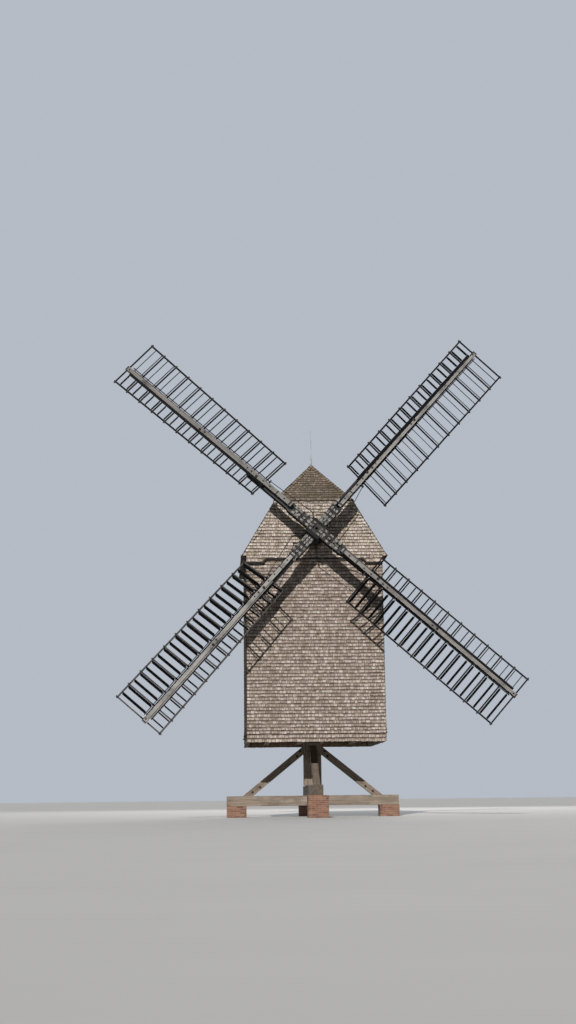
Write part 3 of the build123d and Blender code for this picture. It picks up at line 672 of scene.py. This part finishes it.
for side_name, side in both_sides:
    for level, rise, foot, ends in (
            ("lower", lower_slope, (eaves_x, eaves_z), (verge_y + verge_lap, verge_y + verge_lap)),
            ("upper", upper_slope, (break_x, break_z), (verge_y, ridge_y))):
        length = np.linalg.norm(rise)
        lay_shingles(f"roof_{side_name}_{level}_shingles", (side * foot[0], 0, foot[1]), (0, side, 0),
                     unit(rise * (-side, 1, 1)), course_heights(length, eave_overhang),
                     narrowing(*ends, length), roof_shingle, butt=0.022, kick=eave_kick)
for end_name, end_side in both_ends:
    length = np.linalg.norm(hip_slope)
    lay_shingles(f"{end_name}_half_hip_shingles", (0, end_side * verge_y, break_z), (-end_side, 0, 0),
                 unit(hip_slope * (1, -end_side, 1)), course_heights(length, hip_overhang),
                 narrowing(break_x, hip_head, length), roof_shingle,
                 butt=0.024, kick=eave_kick)
    for side_name, side in both_sides:
        corner = np.array((side * break_x, end_side * verge_y, break_z))
        peak = np.array((0, end_side * ridge_y, ridge_z))
        line = unit(peak - corner)
        hip_length = np.linalg.norm(peak - corner)
        for face_name, face_out, inward in (
                ("slope", -np.cross(unit(upper_slope * (-side, 1, 1)), (0, side, 0)), (0, -end_side, 0)),
                ("end", np.cross((-end_side, 0, 0), unit(hip_slope * (1, -end_side, 1))), (-side, 0, 0))):
            lay_caps(f"hip_caps_{end_name}_{side_name}_{face_name}", corner, line, face_out, inward,
                     hip_cap, course_heights(hip_length, 0.06))
for side_name, side in both_sides:
    face_out = (side * (ridge_z - break_z), 0, break_x)
    lay_caps(f"ridge_caps_{side_name}", (0, -side * ridge_y, ridge_z), (0, side, 0), face_out,
             (0, 0, -1), ridge_cap, np.arange(-0.02, 2 * ridge_y + 0.05, 0.15))
roof_boards = timber("roof_boards", (0, 1, 0), (0.060, 0.050, 0.042), (0.022, 0.018, 0.015))
clad(roof_boards, "roof_left_lower", "roof_left_upper", "roof_right_lower", "roof_right_upper",
     "front_half_hip", "rear_half_hip")

# Verges: the shingles of each gable go on over the ends of the roof boards, in the same courses,
# up to the butts of the roof shingles. They are nailed to the end grain, and have bleached alike.


def verge_limits(side):
    """From the inner side of the roof boards, over the gable's last shingles, to the roof's own edge."""
    def limits(height):
        edge = eaves_x - 0.012 - (height - eaves_z) * slope
        inner = np.minimum(edge, gable_half_at_eaves - 0.03 - (height - eaves_z) * slope)
        return (inner, edge) if side > 0 else (-edge, -inner)
    return limits


verge_heights = gable_heights[gable_heights > eaves_z]
verge_heights[-1] -= 0.02
for end_name, end_side in both_ends:
    for side_name, side in both_sides:
        lay_shingles(f"{end_name}_verge_shingles_{side_name}", (0, end_side * (verge_y + 0.001), 0),
                     (-end_side, 0, 0), (0, 0, 1), np.append(eaves_z + 0.004, verge_heights),
                     verge_limits(-end_side * side), gable_shingle, width=0.14, butt=0.018)

# Lightning rod: a thin galvanised rod in a short socket, on the front end of the ridge.
# Two clips go round the socket.
rod_foot = np.array((0, -ridge_y, ridge_z))
zinc_colours = mottled((((0.05, 0.05, 0.12), 6), (0.012, 3)), 1,
                       ((0.35, (0.30, 0.32, 0.34)), (0.65, (0.44, 0.46, 0.48))),
                       0, ((0.5, 0.0), (0.8, 0.5)), (0.20, 0.21, 0.22))
zinc = finish("galvanised_steel", zinc_colours, (0.5, 0.7), 0.2, 0.001, metallic=0.5)
clad(zinc, "lightning_rod")
socket_hoops = [hoop(rod_foot + (0, 0, lift), (0, 0, 1), (1, 0, 0), 0.0335, 0.03, 0.008, 24)
                for lift in (0.07, 0.25)]
soften(joined("rod_clips", socket_hoops, zinc, "house", "rod_steel"), 0.002, 1)

# Windshaft, poll end and stocks. The shaft is brown oak in a cast-iron poll end, and the two through
# stocks are oak, black with tar and hardly greyed in front. Packing of split hardwood is driven in
# tight over the stocks, under iron bands that are drawn down by a nut at either end.
shaft_out = np.array((0, -cos(shaft_tilt), sin(shaft_tilt)))
shaft_up = np.array((0, sin(shaft_tilt), cos(shaft_tilt)))
sail_turn = 48.6
stocks_apart = 0.3
stock_front = -0.1
stock_bands = ((0.76, 1.0, 1.21), (0.25, 0.5, 0.75))
first_packing = (0.30, 0.13)
whip_heel_near = 1.16
band_width = 0.045


def arm_axes(index):
    """The arm's own directions: out along the arm, to its leading side, and forwards on the shaft."""
    angle = radians(sail_turn + 90 * index)
    along = np.array((1, 0, 0)) * cos(angle) + shaft_up * sin(angle)
    return np.array((along, np.cross(shaft_out, along), shaft_out))


def on_arm(index, places):
    """Points of an arm, given out along it, to the leading side and forwards of its lattice plane. The
    even arms are the rear stock's, and the odd ones the front stock's."""
    places = np.asarray(places, float) + (0, 0, stocks_apart * (index % 2))
    return hub + places @ arm_axes(index)


def arm_timber(name, index, face_pale, face_deep, silvered_where=None):
    """Tarred timber along one arm, silvered on its front. It hardly shines."""
    return timber(name, arm_axes(index)[0], (0.008, 0.008, 0.010), (0.003, 0.003, 0.004),
                  (0.015, 0.015, 0.016), tuple(shaft_out), face_pale, face_deep, silvered_where, shine=0.06)


silver, grey = (0.075, 0.075, 0.079), (0.025, 0.025, 0.027)
rotor_iron = forged_iron, "rotor", "band_iron"
cast_colours = mottled(((0.09, 8), (0.004, 3)), 0,
                       ((0.35, (0.006, 0.006, 0.007)), (0.65, (0.022, 0.020, 0.020))),
                       0, ((0.6, 0.0), (0.78, 0.6)), (0.055, 0.026, 0.015))
cast_iron = finish("cast_iron", cast_colours, (0.6, 0.9), 0.5, 0.003, metallic=0.3, shine=0.2)
wedge_colours = mottled(((0.11, 3), (0.012, 6)), 0,
                        ((0.38, (0.045, 0.043, 0.041)), (0.62, (0.30, 0.292, 0.28))),
                        1, ((0.40, 0.6), (0.55, 0.0)), (0.10, 0.095, 0.09))
wedge_wood = finish("wedge_wood", wedge_colours, (0.7, 0.95), 0.6, 0.003)
clad(timber("shaft_oak", shaft_out, (0.13, 0.10, 0.075), (0.045, 0.034, 0.026)), "windshaft")
clad(cast_iron, "poll_end", "spider")
clad(arm_timber("stock_falling", 1, silver, grey), "front_stock")
clad(arm_timber("stock_rising", 0, silver, grey), "rear_stock")
clad(forged_iron, "arm_bands", "control_rods")
clad(wedge_wood, "arm_wedges")
band_shapes = []
for index in range(4):
    axes = arm_axes(index)
    for radius in stock_bands[index % 2]:
        places = [(radius + band_width / 2, face * 0.165, stock_front + 0.022) for face in (-1, 1)]
        band_shapes.append(turned(on_arm(index, places), axes[2], axes[0], *bolt_profile(0.022)))
joined("arm_band_nuts", band_shapes, *rotor_iron)
shaft_hoops = [hoop(hub + shaft_out * front, shaft_out, (1, 0, 0), *sizes) for front, sizes in (
    (-0.86, (0.2895, 0.06, 0.012)), (-1.02, (0.2895, 0.06, 0.012)), (0.2, (0.052, 0.022, 0.05)))]
soften(joined("shaft_hoops", shaft_hoops, *rotor_iron), 0.003)
packing = []
far, beside, above = np.indices((2, 2, 2)).reshape(3, 8)
taper = 1 - 0.22 * far - 0.10 * above
for index in range(4):
    bands = np.array(stock_bands[index % 2])
    inner_starts = np.arange(first_packing[index % 2], bands[0] - 0.1, 0.15)
    for near in np.concatenate((inner_starts, bands + 0.055, (bands[-1] + 0.21,))):
        for row in (-0.135, 0.0, 0.135):
            length, width = chance.uniform(0.10, 0.155), chance.uniform(0.085, 0.125)
            rise = chance.uniform(0.03, 0.085)
            radius, side = near + chance.uniform(0.0, 0.03), row + chance.uniform(-0.015, 0.015)
            turn = chance.uniform(-0.12, 0.12)
            along, across = far * length, (beside - 0.5) * width * taper
            spot = np.column_stack((radius + along * cos(turn) - across * sin(turn),
                                    side + along * sin(turn) + across * cos(turn),
                                    stock_front + above * (rise - 0.02 * far)))
            if abs(side) > 0.08 or radius < whip_heel_near:
                packing.append(on_arm(index, spot))
soften(piece("arm_packing", packing, block_faces(len(packing)), wedge_wood, "rotor"), 0.006)

# Whips: tapered pine timbers bolted along the fronts of the stocks, out to the tips of the sails.
# Their fronts are silvered and their sides tarred. Bolts with broad washers hold each to its stock
# and close its scarf further out, and an iron plate lies across it near its heel and at its tip.
whip_side = -0.045
whip_ends = (1.32, 10.0)
whip_widths = (0.19, 0.145)
whip_depths = (0.2, 0.15)
plate_radii = (2.05, 9.94)
plate_length, plate_thickness = 0.045, 0.008
tip_block, tip_block_from = 0.175, 9.79


def whip_size(radius):
    """The whip's width, and the distance of its front and back from the lattice plane."""
    width = tip_block if radius > tip_block_from else np.interp(radius, whip_ends, whip_widths)
    depth = np.interp(radius, whip_ends, whip_depths)
    return width, depth - whip_depths[0] / 2


def front_plate(index, radius):
    """A plate as wide as the whip on its front."""
    wide, front = whip_size(radius + plate_length)
    lows = [(radius, whip_side - wide / 2 + 0.002, front)]
    highs = [(radius + plate_length, whip_side + wide / 2 - 0.002, front + plate_thickness)]
    return on_arm(index, blocks(lows, highs)), block_faces(1)


plate_shapes = []
nut_shapes = []
for index in range(4):
    axes = arm_axes(index)
    plate_shapes.extend(front_plate(index, radius) for radius in plate_radii)
    for size, aside, radii in ((0.02, 0, (1.7, 2.45, 2.8, 3.62, 9.85)), (0.036, 0.03, (3.12, 6.08)),
                               (0.024, 0, (3.4, 5.86))):
        places = [(r, whip_side + aside, whip_size(r)[1]) for r in radii]
        nut_shapes.append(turned(on_arm(index, places), axes[2], axes[0], *bolt_profile(size)))
soften(joined("whip_plates", plate_shapes, *rotor_iron), 0.002, 1)
joined("whip_nuts", nut_shapes, *rotor_iron)


def silvered_strip(index, middle, half):
    """The front of one whip within a ragged distance of a line; the edges beyond it are tarred."""
    axes = arm_axes(index)

    def where(tree):
        beside = from_line(tree, tuple(hub + axes[1] * (whip_side + middle)), tuple(axes[1]))
        clouds = cloudy(tree, 0.15, detail=5)
        limit = part(tree, "MapRange", {0: clouds, 3: half - 0.03, 4: half + 0.03}).outputs[0]
        return worked(tree, "LESS_THAN", worked(tree, "ABSOLUTE", beside), limit)

    return where


whip_fronts = (("whip_upper_right", (0.30, 0.293, 0.286), (0.17, 0.165, 0.16), -0.033, 0.078),
               ("whip_upper_left", (0.22, 0.213, 0.206), (0.125, 0.121, 0.117), 0.0, 0.2),
               ("whip_lower_left", (0.33, 0.323, 0.316), (0.20, 0.194, 0.189), 0.067, 0.133),
               ("whip_lower_right", (0.25, 0.242, 0.233), (0.145, 0.140, 0.135), 0.068, 0.133))
for index, (whip, pale_front, deep_front, middle, half) in enumerate(whip_fronts):
    where_silver = silvered_strip(index, middle, half)
    clad(arm_timber(whip + "_front", index, pale_front, deep_front, where_silver), whip)

# Sail frames: twelve bars through each whip, twisted like a propeller, joined by two long rails.
# They are thin pine, black with tar, which has greyed on the lower left sail. A square plate, set
# cornerwise, pins every bar to its outer rails on both sides.
heel_bar, tip_bar, bar_count = 2.735, 9.92, 12
leading, trailing = 0.725, 1.457
heel_weather, tip_weather = 23.5, 7.6
bar_half = 0.018
bar_radii = np.linspace(heel_bar, tip_bar, bar_count)


def weather(radius):
    """The vector along a bar to the leading side, which runs straight from the heel's to the tip's."""
    share = (np.asarray(radius) - heel_bar) / (tip_bar - heel_bar)
    heel, tip = (np.array((cos(radians(a)), sin(radians(a)))) for a in (heel_weather, tip_weather))
    return heel + (tip - heel) * share[..., None]


def bar_axes(index, radii):
    """For bars at these radii: the way along each bar, and the way out of its front face."""
    along_bar = np.column_stack((np.zeros(len(radii)), weather(radii)))
    along_bar /= np.linalg.norm(along_bar, axis=1)[:, None]
    out_of_bar = np.column_stack((np.zeros(len(radii)), -along_bar[:, 2], along_bar[:, 1]))
    return along_bar @ arm_axes(index), out_of_bar @ arm_axes(index)


plate_profile = [(0.064, 0), (0.064, 0.008), (0.030, 0.008), (0.030, 0.024), (0.018, 0.030)]
pin_shapes = []
for index in range(4):
    along_bar, out_of_bar = bar_axes(index, bar_radii)
    for width in (leading, -trailing):
        level = weather(bar_radii) * width
        middle = on_arm(index, np.column_stack((bar_radii, level)))
        for facing in (-1, 1):
            pin_shapes.append(turned(middle + out_of_bar * facing * bar_half, out_of_bar * facing, along_bar,
                                     plate_profile, (False,) * 5, 4))
joined("bar_pins", pin_shapes, *rotor_iron)


def greyed_share(tree):
    """How far the lower left sail's fronts have greyed: most on the inner leading rail, which lies
    beside the whip, none on the inner trailing rail, and a little on the rest."""
    beside = from_line(tree, tuple(hub), tuple(arm_axes(2)[1]))
    shifted = part(tree, "MapRange", {0: beside, 1: -1.0, 2: 1.0}).outputs[0]
    return shades(tree, shifted, (0.36, 0.3), (0.37, 0.0), (0.515, 0.0), (0.52, 1.0),
                  (0.545, 1.0), (0.55, 0.0), (0.585, 0.0), (0.59, 0.3))


clad(arm_timber("lattice_rising", 0, (0.010, 0.010, 0.013), (0.004, 0.004, 0.006)), "sail_frame_upper_right")
clad(arm_timber("lattice_greyed", 2, (0.27, 0.265, 0.26), (0.13, 0.127, 0.124), greyed_share),
     "sail_frame_lower_left")
clad(arm_timber("lattice_falling", 1, (0.015, 0.015, 0.017), (0.006, 0.006, 0.007)),
     "sail_frame_upper_left", "sail_frame_lower_right")

# Shutters: thin boards on iron spindles, standing open between the bars. Each spindle has a small
# crank beside the whip, pinned to the long shutter bar that turns them all together. Every other
# pin is a newer one of zinc.
shutter_bar_side, shutter_bar_front = -0.2, 0.065
first_spindle = 0.09
bay = bar_radii[1] - bar_radii[0]
knob_profile = [(0.020, 0), (0.020, 0.010), (0.014, 0.018), (0.014, 0.026), (0.007, 0.032)]
for pins_name, start, pin_finish in (("crank_pins", 0, zinc), ("iron_crank_pins", bay / 2, forged_iron)):
    knob_shapes = []
    for index in range(4):
        places = [(radius + start, shutter_bar_side, shutter_bar_front)
                  for radius in bar_radii[:-1] + first_spindle]
        axes = arm_axes(index)
        knob_shapes.append(turned(on_arm(index, places), axes[2], axes[0], knob_profile, (False,) * 5))
    joined(pins_name, knob_shapes, pin_finish, "rotor", "rod_iron")
clad(arm_timber("shutter_rising", 0, (0.009, 0.009, 0.011), (0.004, 0.004, 0.005)),
     "shutters_upper_right", "shutters_lower_left")
clad(arm_timber("shutter_falling", 1, (0.012, 0.012, 0.012), (0.005, 0.005, 0.006)),
     "shutters_upper_left", "shutters_lower_right")

# The plain pale floor and the soft light of a studio, which falls from high in front.
floor_half = 1500


def floor_tone(tree):
    """A pale floor with hardly any cloud in it."""
    clouds = cloudy(tree, 3.0, detail=2)
    return shades(tree, clouds, (0.3, (0.49, 0.49, 0.482)), (0.7, (0.51, 0.51, 0.502))), clouds, clouds


ground = bpy.data.meshes.new("floor")
ground.from_pydata([(x * floor_half, y * floor_half, 0) for x, y in ((-1, -1), (1, -1), (1, 1), (-1, 1))], [],
                   [(0, 1, 2, 3)])
ground.materials.append(finish("pale_floor", floor_tone, (0.9, 0.95), 0.0, 0.001))
studio_floor = bpy.data.objects.new("studio_floor", ground)
bpy.context.scene.collection.objects.link(studio_floor)
world = bpy.data.worlds.new("studio")
world.use_nodes = True
sky = world.node_tree
forth = part(sky, "SeparateXYZ", {0: part(sky, "TexCoord").outputs["Generated"]}).outputs[1]
dome = shades(sky, part(sky, "MapRange", {0: forth, 1: -1.0, 2: 1.0}).outputs[0],
              (0.40, (0.035, 0.041, 0.05)), (0.75, (0.46, 0.50, 0.56)))
sky.links.new(dome, sky.nodes["Background"].inputs[0])
bpy.context.scene.world = world
bpy.context.scene.view_settings.view_transform = "Standard"
mill_middle = Vector((0, -2, 9))
sun_angle = radians(0.4)
panel_width = 22
for name, kind, place, power, colour in (
        ("key", "SUN", (-38, -176, 100), 4.2, (1.0, 0.955, 0.90)),
        ("fill", "AREA", (38, -20, 20), 500, (0.9, 0.95, 1.0)),
        ("back", "AREA", (10, 45, 30), 9000, (1.0, 0.98, 0.95))):
    lamp = bpy.data.lights.new(name, kind)
    if kind == "SUN":
        lamp.angle = sun_angle
    else:
        lamp.size = panel_width
    lamp.energy = power
    lamp.color = colour
    hung = bpy.data.objects.new(name, lamp)
    hung.location = place
    hung.rotation_euler = (mill_middle - Vector(place)).to_track_quat("-Z", "Y").to_euler()
    bpy.context.scene.collection.objects.link(hung)

# The camera stands low in front, a little to the left, and looks up at the mill.
camera_pitch, camera_yaw, camera_roll = radians(11.351), radians(2.82), radians(-0.617)
camera_place = (-3.806, -59.338, 0.70)
camera_pixels = 1432
picture_height = 1024
view_out = Vector((sin(camera_yaw) * cos(camera_pitch), cos(camera_yaw) * cos(camera_pitch),
                   sin(camera_pitch)))
level_right = Vector((cos(camera_yaw), -sin(camera_yaw), 0))
level_up = level_right.cross(view_out)
view_right = level_right * cos(camera_roll) + level_up * sin(camera_roll)
view_up = level_up * cos(camera_roll) - level_right * sin(camera_roll)
lens = bpy.data.cameras.new("camera")
lens.sensor_fit = "VERTICAL"
lens.sensor_height = 36
lens.lens = camera_pixels / picture_height * lens.sensor_height
lens.clip_end = 2000
camera = bpy.data.objects.new("camera", lens)
camera_turn = Matrix((view_right, view_up, -view_out)).transposed().to_4x4()
camera.matrix_world = Matrix.Translation(camera_place) @ camera_turn
bpy.context.scene.collection.objects.link(camera)
bpy.context.scene.camera = camera
